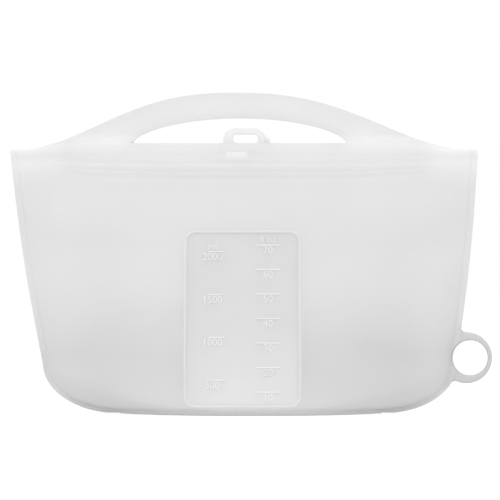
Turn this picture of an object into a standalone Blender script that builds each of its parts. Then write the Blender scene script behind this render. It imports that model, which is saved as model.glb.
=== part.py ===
"""A stand-up silicone food bag: base, walls, side seams, press seal, window, tabs, handle and ring.

Millimetre sizes are written as numbers times MM. X runs along the mouth, the front faces -Y and Z is up.
The origin lies in the middle of the base, on the surface that the bag stands on.
"""

import math

import bmesh
import bpy

MM = 0.001
GAP = 0.3 * MM

# Whole bag
MOUTH_HALF = 145.5 * MM       # half width at the top corners
FOOT_HALF = 82.5 * MM         # half length of the flat part of the foot
CORNER_WIDE = 46.0 * MM       # bottom corner, an ellipse quarter: its run along X
CORNER_HIGH = 30.0 * MM       # and its rise along Z
SHOULDER_Z = 163.8 * MM       # height of the top corners
FOOT_DEPTH_HALF = 48.0 * MM   # half depth of the foot
SIDE_LEAN = 4.2 * MM          # the soft sides lean: the foot stands this much towards +X
SIDE_BOW = 1.8 * MM           # the side edges bow out a little at half height

# Walls and seams
WALL = 2.0 * MM
SEAM_WIDTH = 4.5 * MM
SEAM_HALF = 2.3 * MM          # half thickness of the side seams
BASE_TOP = 3.7 * MM
WALL_BOTTOM = BASE_TOP + GAP
LEAN_POWER = 1.3              # how the walls close in from the foot to the mouth
PLAN_POWER = 3.0              # fullness of the bag's plan outline at the foot
LIP_POWER = 16.0              # the same at the mouth, where the lips are nearly flat
FLATTEN_FROM = 100.0 * MM     # height where the walls start to flatten towards the lips
FOOT_EDGE = 4.0 * MM          # rounding under the front and the back of the foot
FOOT_TIP = 2.0 * MM           # length of the foot's narrow tips, between its lens and the side edges

# Mouth: two lips with three press-seal rails between them
LIP_BOTTOM = 143.0 * MM
LIP_TOP = 168.0 * MM
LIP_DEPTH = 2.4 * MM          # how far a lip stands out beyond the side seam
LIP_INNER = SEAM_HALF + LIP_DEPTH - WALL
LIP_MIDDLE = LIP_INNER + WALL / 2
SEAL_SAG = 6.0 * MM           # the seal hangs this much lower in the middle than at the corners
RAIL_HALF = 114.0 * MM
RAILS = {                     # height in the middle, and rise towards the ends
    "upper": (162.0 * MM, 1.0 * MM),
    "middle": (154.6 * MM, 2.0 * MM),
    "lower": (147.2 * MM, 3.0 * MM),
}
RAIL_REACH = LIP_INNER - GAP
TONGUE_THICK = 1.4 * MM
TONGUE_TIP = 0.9 * MM         # how far a tongue reaches past the middle plane
GROOVE_HIGH = 5.2 * MM
GROOVE_SLOT = 3.0 * MM
GROOVE_FLOOR = 1.5 * MM
GROOVE_DROP = 0.8 * MM        # the groove's middle stands this much above the tongue's

# Measuring window
WINDOW_X = -0.9 * MM
WINDOW_HALF = 36.4 * MM
WINDOW_LOW = 4.4 * MM
WINDOW_HIGH = 113.7 * MM
WINDOW_RADIUS = 6.5 * MM
FRAME_WIDTH = 2.0 * MM
FRAME_PROUD = 0.9 * MM

# Carry handle
ARCH_X = -6.0 * MM
ARCH_RISE = 35.5 * MM
ARCH_POWER = 1.27             # shapes the S-curve from corner to crown
ARCH_FULL = 0.9               # below 1 makes the curve fuller
ARCH_SPAN = 0.95              # share of the mouth's half width that the arch rises over
ARCH_THICK = 4.0 * MM
OPENING_X = -2.5 * MM
OPENING_HALF = 66.5 * MM
OPENING_RISE = 15.4 * MM
OPENING_POWER = 0.62
HANDLE_Z = LIP_TOP + GAP + ARCH_THICK / 2

# Pull tabs
TAB_X = 0.3 * MM
TAB_OFFSET = 3.0 * MM         # the rear tab stands this much further towards +X
TAB_HALF = 13.1 * MM
TAB_TOP = 177.3 * MM
TAB_CORNER = 7.5 * MM
TAB_THICK = 2.0 * MM
SLOT_X = 0.9 * MM
SLOT_HALF = 7.8 * MM
REAR_SLOT_X = 2.0 * MM        # the rear slot is longer, so that the front one stays clear
REAR_SLOT_HALF = 9.0 * MM
SLOT_TOP = 173.4 * MM
SLOT_CORNER = 2.0 * MM
TAB_Z = LIP_TOP + GAP + TAB_THICK / 2

# Hanging ring, on the right side edge
RING_X = 138.3 * MM
RING_Z = 34.5 * MM
RING_RADIUS = 15.9 * MM
HOLE_X = 140.7 * MM
HOLE_RADIUS = 10.9 * MM
RING_HALF = 2.2 * MM
RING_LEFT = 127.1 * MM
RING_HINGE_X = RING_LEFT + RING_HALF

# Fineness of the meshes
COLUMNS = 28
ROWS = 15
PANEL_COLUMNS = 16            # columns of the pane and its frame
FRAME_ROWS = 18
LIP_ROWS = 3
ARC_STEPS = 5
SEAM_STEPS = 26
RAIL_STEPS = 16
ARCH_STEPS = 34
RING_STEPS = 30
HOLE_STEP = 15                # degrees
ROUND_SEGMENTS = 3
ROUND_SHARE = 0.98            # how much of a hinge edge's half thickness its rounding takes
WALL_CROWDING = 1.5           # how strongly the rows crowd towards the foot
SEAM_CROWDING = 1.6


# --- outline formulas -------------------------------------------------------------------------

def mix(low, high, share):
    return low + (high - low) * share


def smoothstep(low, high, value):
    share = min(1.0, max(0.0, (value - low) / (high - low)))
    return share * share * (3.0 - 2.0 * share)


def side_middle(z):
    """X of the line half way between the two side edges."""
    return SIDE_LEAN * (1.0 - min(z, SHOULDER_Z) / SHOULDER_Z)


def side_half(z, inset=0.0):
    """Half width between the side edges, or between lines drawn inset inside them."""
    if z < CORNER_HIGH:
        drop = min(1.0, (CORNER_HIGH - z) / (CORNER_HIGH - inset))
        return FOOT_HALF + (CORNER_WIDE - inset) * math.sqrt(1.0 - drop * drop)
    share = min(1.0, (z - CORNER_HIGH) / (SHOULDER_Z - CORNER_HIGH))
    straight = mix(FOOT_HALF + CORNER_WIDE, MOUTH_HALF, share)
    return straight + SIDE_BOW * math.sin(math.pi * share) - inset


def wall_half(z):
    """Half width of the front and back walls, inside the side seams."""
    return side_half(z, SEAM_WIDTH + 2 * GAP)


def wall_depth(z):
    """How far a wall's outer face stands out beyond the side seam, half way along the bag."""
    share = min(1.0, max(0.0, (z - WALL_BOTTOM) / (LIP_BOTTOM - WALL_BOTTOM)))
    return mix(LIP_DEPTH, FOOT_DEPTH_HALF - SEAM_HALF, (1.0 - share) ** LEAN_POWER)


def outer_y(across, z):
    """Distance from the middle plane to the outer face; across is -1 at one seam and 1 at the other."""
    power = mix(PLAN_POWER, LIP_POWER, smoothstep(FLATTEN_FROM, LIP_BOTTOM, z))
    return SEAM_HALF + wall_depth(z) * (1.0 - abs(across) ** power)


def seal_rise(x):
    """How much higher the press seal runs at x than in the middle of the mouth."""
    return SEAL_SAG * (x / MOUTH_HALF) ** 2


def arch_z(x):
    """Height of the bag's upper outline, from one top corner over the handle to the other."""
    along = min(1.0, abs(x - ARCH_X * (1.0 - abs(x) / MOUTH_HALF)) / (MOUTH_HALF * ARCH_SPAN))
    wave = max(0.0, 1.0 + math.cos(math.pi * along ** ARCH_POWER)) / 2.0
    return SHOULDER_Z + ARCH_RISE * wave ** ARCH_FULL


def lip_top(x):
    return min(LIP_TOP, arch_z(x)) - GAP


def arc(centre, radius, start, end, steps=ARC_STEPS):
    """Points of a round stretch in the X-Z plane, from one angle to another in degrees."""
    points = []
    for step in range(steps + 1):
        angle = math.radians(mix(start, end, step / steps))
        points.append((centre[0] + radius * math.cos(angle), centre[1] + radius * math.sin(angle)))
    return points


def rounded_rectangle(middle, half, low, high, radius):
    """Outline of a rectangle with round corners, counter-clockwise from its lower right corner."""
    left, right = middle - half + radius, middle + half - radius
    bottom, top = low + radius, high - radius
    return (
        arc((right, bottom), radius, -90, 0)
        + arc((right, top), radius, 0, 90)
        + arc((left, top), radius, 90, 180)
        + arc((left, bottom), radius, 180, 270)
    )


# --- scene helpers ----------------------------------------------------------------------------

def clear_scene():
    for old in list(bpy.data.objects):
        bpy.data.objects.remove(old, do_unlink=True)


def make_material(name, colour, roughness, alpha=1.0):
    material = bpy.data.materials.new(name)
    material.use_nodes = True
    shader = material.node_tree.nodes["Principled BSDF"]
    shader.inputs["Base Color"].default_value = (*colour, 1.0)
    shader.inputs["Roughness"].default_value = roughness
    shader.inputs["Metallic"].default_value = 0.0
    shader.inputs["Alpha"].default_value = alpha
    return material


def frosted_silicone(name):
    return make_material(name, (0.80, 0.81, 0.81), 0.55)


def clear_silicone(name):
    return make_material(name, (0.74, 0.75, 0.75), 0.25, 0.85)


def finish(bm, name, material, origin=(0.0, 0.0, 0.0)):
    """Turns a bmesh into a named object whose origin is at the given point."""
    bmesh.ops.remove_doubles(bm, verts=bm.verts, dist=0.001 * MM)
    bmesh.ops.recalc_face_normals(bm, faces=bm.faces)
    for vertex in bm.verts:
        for axis in range(3):
            vertex.co[axis] -= origin[axis]
    mesh = bpy.data.meshes.new(name)
    bm.to_mesh(mesh)
    bm.free()
    mesh.shade_smooth()
    mesh.set_sharp_from_angle(angle=math.radians(40))
    mesh.materials.append(material)
    result = bpy.data.objects.new(name, mesh)
    result.location = origin
    bpy.context.collection.objects.link(result)
    return result


def extrude_outline(outline, front, back):
    """A bmesh plate with the given X-Z outline, between two Y values."""
    bm = bmesh.new()
    face = bm.faces.new([bm.verts.new((x, front, z)) for x, z in outline])
    grown = bmesh.ops.extrude_face_region(bm, geom=[face])
    moved = [part for part in grown["geom"] if isinstance(part, bmesh.types.BMVert)]
    bmesh.ops.translate(bm, verts=moved, vec=(0.0, back - front, 0.0))
    return bm


def loft(rings):
    """A closed bmesh through a list of rings of points, with its first and last ring filled."""
    bm = bmesh.new()
    loops = [[bm.verts.new(point) for point in ring] for ring in rings]
    for low, high in zip(loops, loops[1:]):
        for index in range(len(low)):
            after = (index + 1) % len(low)
            bm.faces.new((low[index], low[after], high[after], high[index]))
    bm.faces.new(reversed(loops[0]))
    bm.faces.new(loops[-1])
    return bm


def make_cutter(name, bm):
    """A shape that only cuts others: it is hidden and is no part of the bag."""
    cutter = finish(bm, name, None)
    cutter.hide_render = True
    cutter.display_type = "WIRE"
    return cutter


def add_boolean(target, cutter, operation):
    modifier = target.modifiers.new(cutter.name, "BOOLEAN")
    modifier.operation = operation
    modifier.solver = "EXACT"
    modifier.object = cutter


def sheet(name, material, side, place, thickness=WALL, columns=COLUMNS, rows=ROWS):
    """A thin wall: place gives its outer face for across in -1..1 and up in 0..1, side is -1 or 1."""
    bm = bmesh.new()
    bmesh.ops.create_grid(bm, x_segments=columns, y_segments=rows, size=1.0)
    for vertex in bm.verts:
        x, y, z = place(vertex.co.x, (vertex.co.y + 1.0) / 2.0)
        vertex.co = (x, side * y, z)
    wall = finish(bm, name, material)
    outward = sum(polygon.normal.y * polygon.area for polygon in wall.data.polygons)
    if outward * side < 0.0:
        wall.data.flip_normals()
    shell = wall.modifiers.new("thickness", "SOLIDIFY")
    shell.thickness = thickness
    shell.offset = -1.0
    return wall


# --- foot, walls and seams --------------------------------------------------------------------

def base_ring(z):
    """The foot's outline at height z: a full lens with a narrow seam tip at each end."""
    under = max(0.0, FOOT_EDGE - z)
    tuck = FOOT_EDGE - math.sqrt(FOOT_EDGE ** 2 - under ** 2)
    end = side_half(z)
    body = min(FOOT_HALF, end - FOOT_TIP)
    front = []
    for index in range(COLUMNS + 1):
        across = mix(-1.0, 1.0, index / COLUMNS)
        x = body * math.sin(across * math.pi / 2.0)
        depth = (FOOT_DEPTH_HALF - SEAM_HALF - tuck) * (1.0 - abs(x / body) ** PLAN_POWER)
        front.append((x, -SEAM_HALF - depth))
    half = [(-end, -SEAM_HALF)] + front + [(end, -SEAM_HALF)]
    around = half + [(x, -y) for x, y in reversed(half)]
    return [(x + side_middle(z), y, z) for x, y in around]


def make_base():
    heights = [0.0, 0.25 * MM, 0.8 * MM, 1.6 * MM, 2.6 * MM, BASE_TOP]
    bm = loft([base_ring(z) for z in heights])
    return finish(bm, "base_pan", frosted_silicone("base_silicone"))


def wall_place(across, up):
    """A point of a wall's outer face; the rows crowd towards the foot, where the walls are trimmed."""
    top = LIP_BOTTOM + seal_rise(across * wall_half(LIP_BOTTOM)) - GAP
    z = mix(WALL_BOTTOM - WALL, top, up ** WALL_CROWDING)
    return side_middle(z) + across * wall_half(z), outer_y(across, z), z


def make_back_wall():
    return sheet("back_wall", frosted_silicone("back_wall_silicone"), 1, wall_place)


def make_front_wall(opening):
    wall = sheet("front_wall", frosted_silicone("front_wall_silicone"), -1, wall_place)
    add_boolean(wall, opening, "DIFFERENCE")
    return wall


def seam_outline(low, high, side):
    """X-Z outline of a stretch of side seam between two heights."""
    heights = [
        mix(low, high, (step / SEAM_STEPS) ** SEAM_CROWDING) for step in range(SEAM_STEPS + 1)
    ]
    outer = [(side_middle(z) + side * side_half(z), z) for z in heights]
    inner = []
    for z in heights:
        half = max(FOOT_HALF + MM, side_half(z, SEAM_WIDTH))
        inner.append((side_middle(z) + side * half, z))
    return outer + inner[::-1]


def make_seam(name, low, high, side):
    bm = extrude_outline(seam_outline(low, high, side), -SEAM_HALF, SEAM_HALF)
    return finish(bm, name, frosted_silicone(name + "_silicone"))


# --- mouth ------------------------------------------------------------------------------------

def lip_place(across, up):
    x = across * wall_half(mix(LIP_BOTTOM, SHOULDER_Z, up))
    bottom = LIP_BOTTOM + seal_rise(across * wall_half(LIP_BOTTOM))
    z = mix(bottom, lip_top(x), up)
    return x, outer_y(across, LIP_BOTTOM), z


def make_lip(name, side):
    return sheet(name, frosted_silicone(name + "_silicone"), side, lip_place, rows=LIP_ROWS)


def make_rail(name, section, rise):
    """A press-seal rail: a Y-Z section carried along the mouth, which rises towards its ends."""
    rings = []
    for index in range(RAIL_STEPS + 1):
        x = mix(-RAIL_HALF, RAIL_HALF, index / RAIL_STEPS)
        up = rise * (x / RAIL_HALF) ** 2
        rings.append([(x, y, z + up) for y, z in section])
    return finish(loft(rings), name, frosted_silicone(name + "_silicone"))


def tongue_section(z):
    half = TONGUE_THICK / 2
    nose = half / 2
    return [
        (-RAIL_REACH, z - half),
        (TONGUE_TIP - nose, z - half),
        (TONGUE_TIP, z - nose),
        (TONGUE_TIP, z + nose),
        (TONGUE_TIP - nose, z + half),
        (-RAIL_REACH, z + half),
    ]


def groove_section(z):
    middle = z + GROOVE_DROP
    outer, slot = GROOVE_HIGH / 2, GROOVE_SLOT / 2
    return [
        (RAIL_REACH, middle - outer),
        (RAIL_REACH, middle + outer),
        (-TONGUE_TIP, middle + outer),
        (-TONGUE_TIP, middle + slot),
        (GROOVE_FLOOR, middle + slot),
        (GROOVE_FLOOR, middle - slot),
        (-TONGUE_TIP, middle - slot),
        (-TONGUE_TIP, middle - outer),
    ]


def make_rails():
    for place, (z, rise) in RAILS.items():
        make_rail(place + "_tongue_rail", tongue_section(z), rise)
        make_rail(place + "_groove_rail", groove_section(z), rise)


# --- measuring window -------------------------------------------------------------------------

def window_prism(name, inset):
    """A prism through the front of the bag with the window's outline, drawn in by inset."""
    outline = rounded_rectangle(
        WINDOW_X, WINDOW_HALF - inset, WINDOW_LOW + inset, WINDOW_HIGH - inset, WINDOW_RADIUS - inset
    )
    return make_cutter(name, extrude_outline(outline, -2.0 * FOOT_DEPTH_HALF, -SEAM_HALF))


def front_panel_place(proud):
    """The front wall's outer face around the window, moved out by proud."""
    def place(across, up):
        z = mix(WALL_BOTTOM - WALL, WINDOW_HIGH + WINDOW_RADIUS, up ** WALL_CROWDING)
        x = WINDOW_X + across * (WINDOW_HALF + WINDOW_RADIUS)
        along = (x - side_middle(z)) / wall_half(max(z, WALL_BOTTOM))
        return x, outer_y(along, z) + proud, z
    return place


def make_window(pane_outline):
    pane = sheet(
        "measuring_window", clear_silicone("window_silicone"), -1, front_panel_place(0.0),
        columns=PANEL_COLUMNS,
    )
    add_boolean(pane, pane_outline, "INTERSECT")
    return pane


def make_window_frame(outer_outline, inner_outline):
    frame = sheet(
        "window_frame", frosted_silicone("frame_silicone"), -1, front_panel_place(FRAME_PROUD + 2 * GAP),
        thickness=FRAME_PROUD, columns=PANEL_COLUMNS, rows=FRAME_ROWS,
    )
    add_boolean(frame, outer_outline, "INTERSECT")
    add_boolean(frame, inner_outline, "DIFFERENCE")
    return frame


# --- moving pieces ----------------------------------------------------------------------------

def round_bottom(bm, z, radius):
    """Rounds the two lower edges of a plate so that its foot is a half cylinder on the hinge axis."""
    lower = [
        edge for edge in bm.edges
        if all(abs(vertex.co.z - z) < GAP / 10 for vertex in edge.verts)
        and abs(edge.verts[0].co.y - edge.verts[1].co.y) < GAP / 10
    ]
    bmesh.ops.bevel(
        bm, geom=lower, offset=radius * ROUND_SHARE, segments=ROUND_SEGMENTS, profile=0.5,
        affect="EDGES", material=-1,
    )


def handle_outline():
    """The arch: its outer S-curves, then the lens-shaped opening, closed along the hinge line."""
    foot = HANDLE_Z - ARCH_THICK / 2
    reach = MOUTH_HALF
    while arch_z(reach) < foot + ARCH_THICK:
        reach -= MM
    outer = []
    inner = []
    for step in range(ARCH_STEPS + 1):
        x = mix(reach, -reach, step / ARCH_STEPS)
        outer.append((x, arch_z(x)))
        share = math.sin(mix(-math.pi / 2, math.pi / 2, step / ARCH_STEPS))
        rise = OPENING_RISE * (1.0 - share * share) ** OPENING_POWER
        inner.append((OPENING_X + OPENING_HALF * share, foot + rise))
    return [(reach, foot)] + outer + [(-reach, foot)] + inner


def make_handle():
    bm = extrude_outline(handle_outline(), LIP_MIDDLE - ARCH_THICK / 2, LIP_MIDDLE + ARCH_THICK / 2)
    round_bottom(bm, HANDLE_Z - ARCH_THICK / 2, ARCH_THICK / 2)
    return finish(bm, "carry_handle", frosted_silicone("handle_silicone"), (0.0, LIP_MIDDLE, HANDLE_Z))


def tab_outline(middle, slot_middle, slot_half):
    """A loop that stands on the lip with two legs: outer arch first, then the finger slot."""
    foot = TAB_Z - TAB_THICK / 2
    arch_centre = TAB_TOP - TAB_CORNER
    outer = (
        [(middle + TAB_HALF, foot)]
        + arc((middle + TAB_HALF - TAB_CORNER, arch_centre), TAB_CORNER, 0, 90)
        + arc((middle - TAB_HALF + TAB_CORNER, arch_centre), TAB_CORNER, 90, 180)
        + [(middle - TAB_HALF, foot)]
    )
    slot_centre = SLOT_TOP - SLOT_CORNER
    inner = (
        [(slot_middle - slot_half, foot)]
        + arc((slot_middle - slot_half + SLOT_CORNER, slot_centre), SLOT_CORNER, 180, 90)
        + arc((slot_middle + slot_half - SLOT_CORNER, slot_centre), SLOT_CORNER, 90, 0)
        + [(slot_middle + slot_half, foot)]
    )
    return outer + inner


def make_tab(name, middle, slot_middle, slot_half, side):
    y = side * LIP_MIDDLE
    outline = tab_outline(middle, slot_middle, slot_half)
    bm = extrude_outline(outline, y - TAB_THICK / 2, y + TAB_THICK / 2)
    round_bottom(bm, TAB_Z - TAB_THICK / 2, TAB_THICK / 2)
    return finish(bm, name, frosted_silicone(name + "_silicone"), (middle, y, TAB_Z))


def make_ring(hole):
    """The ring is cut straight along the side seam, where its edge is a half cylinder on the axis."""
    cut = math.degrees(math.acos((RING_LEFT - RING_X) / RING_RADIUS))
    rim = arc((RING_X, RING_Z), RING_RADIUS, -cut, cut, RING_STEPS)
    bm = extrude_outline(rim, -RING_HALF, RING_HALF)
    side_edges = [
        edge for edge in bm.edges
        if all(abs(vertex.co.x - RING_LEFT) < GAP / 10 for vertex in edge.verts)
        and abs(edge.verts[0].co.y - edge.verts[1].co.y) < GAP / 10
    ]
    bmesh.ops.bevel(
        bm, geom=side_edges, offset=RING_HALF * ROUND_SHARE, segments=ROUND_SEGMENTS, profile=0.5,
        affect="EDGES", material=-1,
    )
    ring = finish(bm, "hanging_ring", frosted_silicone("ring_silicone"), (RING_HINGE_X, 0.0, RING_Z))
    add_boolean(ring, hole, "DIFFERENCE")
    return ring


def ring_hole_cutter():
    outline = arc((HOLE_X, RING_Z), HOLE_RADIUS, 0, 360 - HOLE_STEP, 360 // HOLE_STEP - 1)
    return make_cutter("ring_hole_cutter", extrude_outline(outline, -3 * RING_HALF, 3 * RING_HALF))


def ring_recess_cutter():
    """The place that the ring takes at the side of the walls."""
    half = RING_RADIUS + 2 * GAP
    left, right = RING_LEFT - 2 * GAP, RING_X + RING_RADIUS
    outline = [
        (left, RING_Z - half), (right, RING_Z - half), (right, RING_Z + half), (left, RING_Z + half)
    ]
    return make_cutter("ring_recess_cutter", extrude_outline(outline, -4 * SEAM_HALF, 4 * SEAM_HALF))


def foot_trim_cutter():
    """Everything below the walls' lower edge."""
    reach = 2 * MOUTH_HALF
    outline = [(-reach, -WALL * 4), (reach, -WALL * 4), (reach, WALL_BOTTOM), (-reach, WALL_BOTTOM)]
    return make_cutter("foot_trim_cutter", extrude_outline(outline, -reach, reach))


def build():
    clear_scene()
    make_base()
    back_wall = make_back_wall()
    frame_inner = window_prism("frame_inner_cutter", FRAME_WIDTH)
    pane_outline = window_prism("pane_cutter", FRAME_WIDTH / 2 + GAP)
    wall_opening = window_prism("wall_opening_cutter", FRAME_WIDTH / 2)
    frame_outer = window_prism("frame_outer_cutter", 0.0)
    front_wall = make_front_wall(wall_opening)
    for cutter in (foot_trim_cutter(), ring_recess_cutter()):
        add_boolean(front_wall, cutter, "DIFFERENCE")
        add_boolean(back_wall, cutter, "DIFFERENCE")
    make_window(pane_outline)
    make_window_frame(frame_outer, frame_inner)
    seam_top = SHOULDER_Z - GAP
    ring_reach = RING_RADIUS + 2 * GAP
    make_seam("left_side_seam", WALL_BOTTOM, seam_top, -1)
    make_seam("right_lower_seam", WALL_BOTTOM, RING_Z - ring_reach, 1)
    make_seam("right_upper_seam", RING_Z + ring_reach, seam_top, 1)
    make_lip("back_lip", 1)
    make_lip("front_lip", -1)
    make_rails()
    make_handle()
    make_tab("front_pull_tab", TAB_X, SLOT_X, SLOT_HALF, -1)
    make_tab("rear_pull_tab", TAB_X + TAB_OFFSET, REAR_SLOT_X, REAR_SLOT_HALF, 1)
    make_ring(ring_hole_cutter())


build()
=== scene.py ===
# %% [markdown]
# # A stand-up silicone bag
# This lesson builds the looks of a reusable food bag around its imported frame. The real bag is
# moulded from platinum-cured silicone: milky where the mould was bead-blasted, clear where it was
# polished. The frame gives every size and every hinge; the cells below grow the soft skin on it.

import math

import bmesh
import bpy
from mathutils import Matrix, Vector


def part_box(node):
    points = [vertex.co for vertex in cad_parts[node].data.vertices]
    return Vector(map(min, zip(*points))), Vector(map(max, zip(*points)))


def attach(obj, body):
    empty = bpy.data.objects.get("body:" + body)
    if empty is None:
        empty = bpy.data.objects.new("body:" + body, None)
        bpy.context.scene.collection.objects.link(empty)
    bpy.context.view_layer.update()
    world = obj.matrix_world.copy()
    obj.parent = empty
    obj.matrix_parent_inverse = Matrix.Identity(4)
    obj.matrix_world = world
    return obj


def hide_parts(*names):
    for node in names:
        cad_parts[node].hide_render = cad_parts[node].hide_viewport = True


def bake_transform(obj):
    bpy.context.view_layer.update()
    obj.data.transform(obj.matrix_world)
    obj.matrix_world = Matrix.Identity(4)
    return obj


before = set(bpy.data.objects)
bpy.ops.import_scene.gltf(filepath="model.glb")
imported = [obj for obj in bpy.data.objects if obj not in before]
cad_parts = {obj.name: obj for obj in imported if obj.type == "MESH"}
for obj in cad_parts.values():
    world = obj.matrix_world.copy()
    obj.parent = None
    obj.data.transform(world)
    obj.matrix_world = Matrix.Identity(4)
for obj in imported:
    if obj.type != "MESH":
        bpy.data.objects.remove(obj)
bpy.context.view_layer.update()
MM = 0.001

# %% [markdown]
# ## Sizes from the frame
# The bag's main sizes are read from the boxes of its nodes, so the skin always fits the frame.
# A few more, such as the seam's width, are the design's own constants.

# %% Driving sizes
GAP = 0.3 * MM
SEAM_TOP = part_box("right_upper_seam")[1]
MOUTH_HALF = SEAM_TOP.x
SHOULDER_Z = SEAM_TOP.z + GAP
FOOT_DEPTH_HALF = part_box("base_pan")[1].y
LIP_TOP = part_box("front_lip")[1].z + GAP
LIP_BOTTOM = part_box("front_lip")[0].z
HANDLE_LOW, HANDLE_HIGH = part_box("carry_handle")
RING_LOW, RING_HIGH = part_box("hanging_ring")

FOOT_HALF = 82.5 * MM
CORNER_WIDE = 46.0 * MM
CORNER_HIGH = 30.0 * MM
SIDE_LEAN = 4.2 * MM
SIDE_BOW = 1.8 * MM
SEAM_WIDTH = 3.0 * MM
SEAM_HALF = 2.3 * MM
WALL = 2.0 * MM
FOOT_EDGE = 4.0 * MM
LIP_DEPTH = 2.4 * MM
LEAN_POWER = 1.3
PLAN_POWER = 3.0
LIP_POWER = 16.0
FLATTEN_FROM = 100.0 * MM
SEAL_LOW = 145.4 * MM
SEAL_HIGH = 160.5 * MM
SEAL_RISE = 11.5 * MM
SEAL_DROP = 1.5 * MM
print("mouth half width", round(MOUTH_HALF / MM, 1), "mm, lips",
      round((LIP_TOP - LIP_BOTTOM) / MM, 1), "mm high")

# %% [markdown]
# ## The outline as formulas
# Seen from the front the bag is a trapezium with big elliptical bottom corners. One function gives
# the half width at any height, and another the depth of a wall. A formula is used instead of a
# traced outline, because the same line then steers the skin, the seams and the window.

# %% Outline functions
def mix(low, high, share):
    return low + (high - low) * share


def smoothstep(low, high, value):
    share = min(1.0, max(0.0, (value - low) / (high - low)))
    return share * share * (3.0 - 2.0 * share)


def side_middle(z):
    return SIDE_LEAN * (1.0 - min(z, SHOULDER_Z) / SHOULDER_Z)


def side_half(z, inset=0.0):
    if z < CORNER_HIGH:
        drop = min(1.0, (CORNER_HIGH - z) / (CORNER_HIGH - inset))
        return FOOT_HALF + (CORNER_WIDE - inset) * math.sqrt(1.0 - drop * drop)
    share = min(1.0, (z - CORNER_HIGH) / (SHOULDER_Z - CORNER_HIGH))
    straight = mix(FOOT_HALF + CORNER_WIDE, MOUTH_HALF, share)
    return straight + SIDE_BOW * math.sin(math.pi * share) - inset


def wall_depth(z):
    low = FOOT_EDGE
    share = min(1.0, max(0.0, (z - low) / (LIP_BOTTOM - low)))
    return mix(LIP_DEPTH, FOOT_DEPTH_HALF - SEAM_HALF, (1.0 - share) ** LEAN_POWER)


def seal_low(x):
    return SEAL_LOW + SEAL_RISE * (x / MOUTH_HALF) ** 4


def seal_high(x):
    return SEAL_HIGH - SEAL_DROP * (x / MOUTH_HALF) ** 2


print("half width at the foot, at 30 mm and at the mouth:",
      [round(side_half(z) / MM, 1) for z in (0.0, CORNER_HIGH, SHOULDER_Z)])

# %% [markdown]
# ## The skin's outer face
# A wall is a shallow pillow between two flat seam strips. Beside each strip the mould leaves a
# small valley, and the lower corners fold in a little, because the foot is stiffer than the wall.

# %% Skin surface
VALLEY_DEEP = 0.3 * MM
VALLEY_WIDE = 0.55 * MM
VALLEY_FADE = (10 * MM, 60 * MM)
CORNER_DENT = 0.9 * MM
DENT_X, DENT_Z = 96 * MM, 26 * MM
DENT_WIDE, DENT_HIGH = 17 * MM, 15 * MM
LEAST_DEPTH = 0.9 * MM


def seam_line(z):
    return max(FOOT_HALF, side_half(z, SEAM_WIDTH))


def corner_dent(x, z):
    across = (abs(x - side_middle(z)) - DENT_X) / DENT_WIDE
    up = (z - DENT_Z) / DENT_HIGH
    return CORNER_DENT * math.exp(-across * across - up * up)


def skin_y(x, z):
    """Distance of the outer face from the middle plane."""
    out = abs(x - side_middle(z))
    line = seam_line(z)
    under = min(FOOT_EDGE, max(0.0, FOOT_EDGE - z))
    tuck = FOOT_EDGE - math.sqrt(FOOT_EDGE ** 2 - under ** 2)
    if out >= line:
        return max(SEAM_HALF - tuck, LEAST_DEPTH)
    power = mix(PLAN_POWER, LIP_POWER, smoothstep(FLATTEN_FROM, LIP_BOTTOM, z))
    depth = wall_depth(z) * (1.0 - (out / line) ** power)
    beside = (line - out - VALLEY_WIDE) / VALLEY_WIDE
    valley = VALLEY_DEEP * math.exp(-beside * beside) * smoothstep(*VALLEY_FADE, z)
    return max(SEAM_HALF + depth - tuck - valley - corner_dent(x, z), LEAST_DEPTH)


def skin_normal(x, z):
    """Unit vector out of the skin, for a face on the +Y side."""
    step = 0.8 * MM
    slope_x = (skin_y(x + step, z) - skin_y(x - step, z)) / (2 * step)
    slope_z = (skin_y(x, z + step) - skin_y(x, z - step)) / (2 * step)
    return Vector((-slope_x, 1.0, -slope_z)).normalized()


print("skin stands out", round(skin_y(0.0, 5 * MM) / MM, 1), "mm at the foot and",
      round(skin_y(0.0, 150 * MM) / MM, 1), "mm at the lips")

# %% [markdown]
# ## Handle outline
# The handle is one sweep from corner to corner, like a coat hanger without its hook. A cosine on a
# bent scale gives its S-curve, and a flattened ellipse gives the opening for the hand.

# %% Arch functions
ARCH_X = -6.0 * MM
ARCH_POWER = 1.27
ARCH_FULL = 0.9
ARCH_SPAN = 0.95
ARCH_THICK = HANDLE_HIGH.y - HANDLE_LOW.y
LIP_MIDDLE = (HANDLE_HIGH.y + HANDLE_LOW.y) / 2
OPENING_X = -2.5 * MM
OPENING_HALF = 66.5 * MM
OPENING_RISE = 15.4 * MM
OPENING_POWER = 0.62
LIP_SOFT = 1.2 * MM
ROOT_DROP = 3 * MM


def arch_z(x):
    along = min(1.0, abs(x - ARCH_X * (1.0 - abs(x) / MOUTH_HALF)) / (MOUTH_HALF * ARCH_SPAN))
    wave = max(0.0, 1.0 + math.cos(math.pi * along ** ARCH_POWER)) / 2.0
    return SHOULDER_Z + (HANDLE_HIGH.z - SHOULDER_Z) * wave ** ARCH_FULL


def led_under(high):
    """The level top of the lips, softly kept below a height."""
    room = high - LIP_TOP
    return LIP_TOP + (room - math.hypot(room, LIP_SOFT)) / 2


def lip_top(x):
    """Top of the lips: level in the middle, and led under the arch near the corners."""
    return led_under(arch_z(x))


def handle_root(x):
    """Where the handle starts on the back lip, always a few millimetres below the arch."""
    return led_under(arch_z(x) - ROOT_DROP)


def opening_z(x):
    share = (x - OPENING_X) / OPENING_HALF
    if abs(share) >= 1.0:
        return handle_root(x)
    return LIP_TOP + OPENING_RISE * (1.0 - share * share) ** OPENING_POWER


print("crown of the arch at", round(arch_z(ARCH_X) / MM, 1), "mm, opening",
      round(opening_z(ARCH_X) / MM, 1), "mm")

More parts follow.
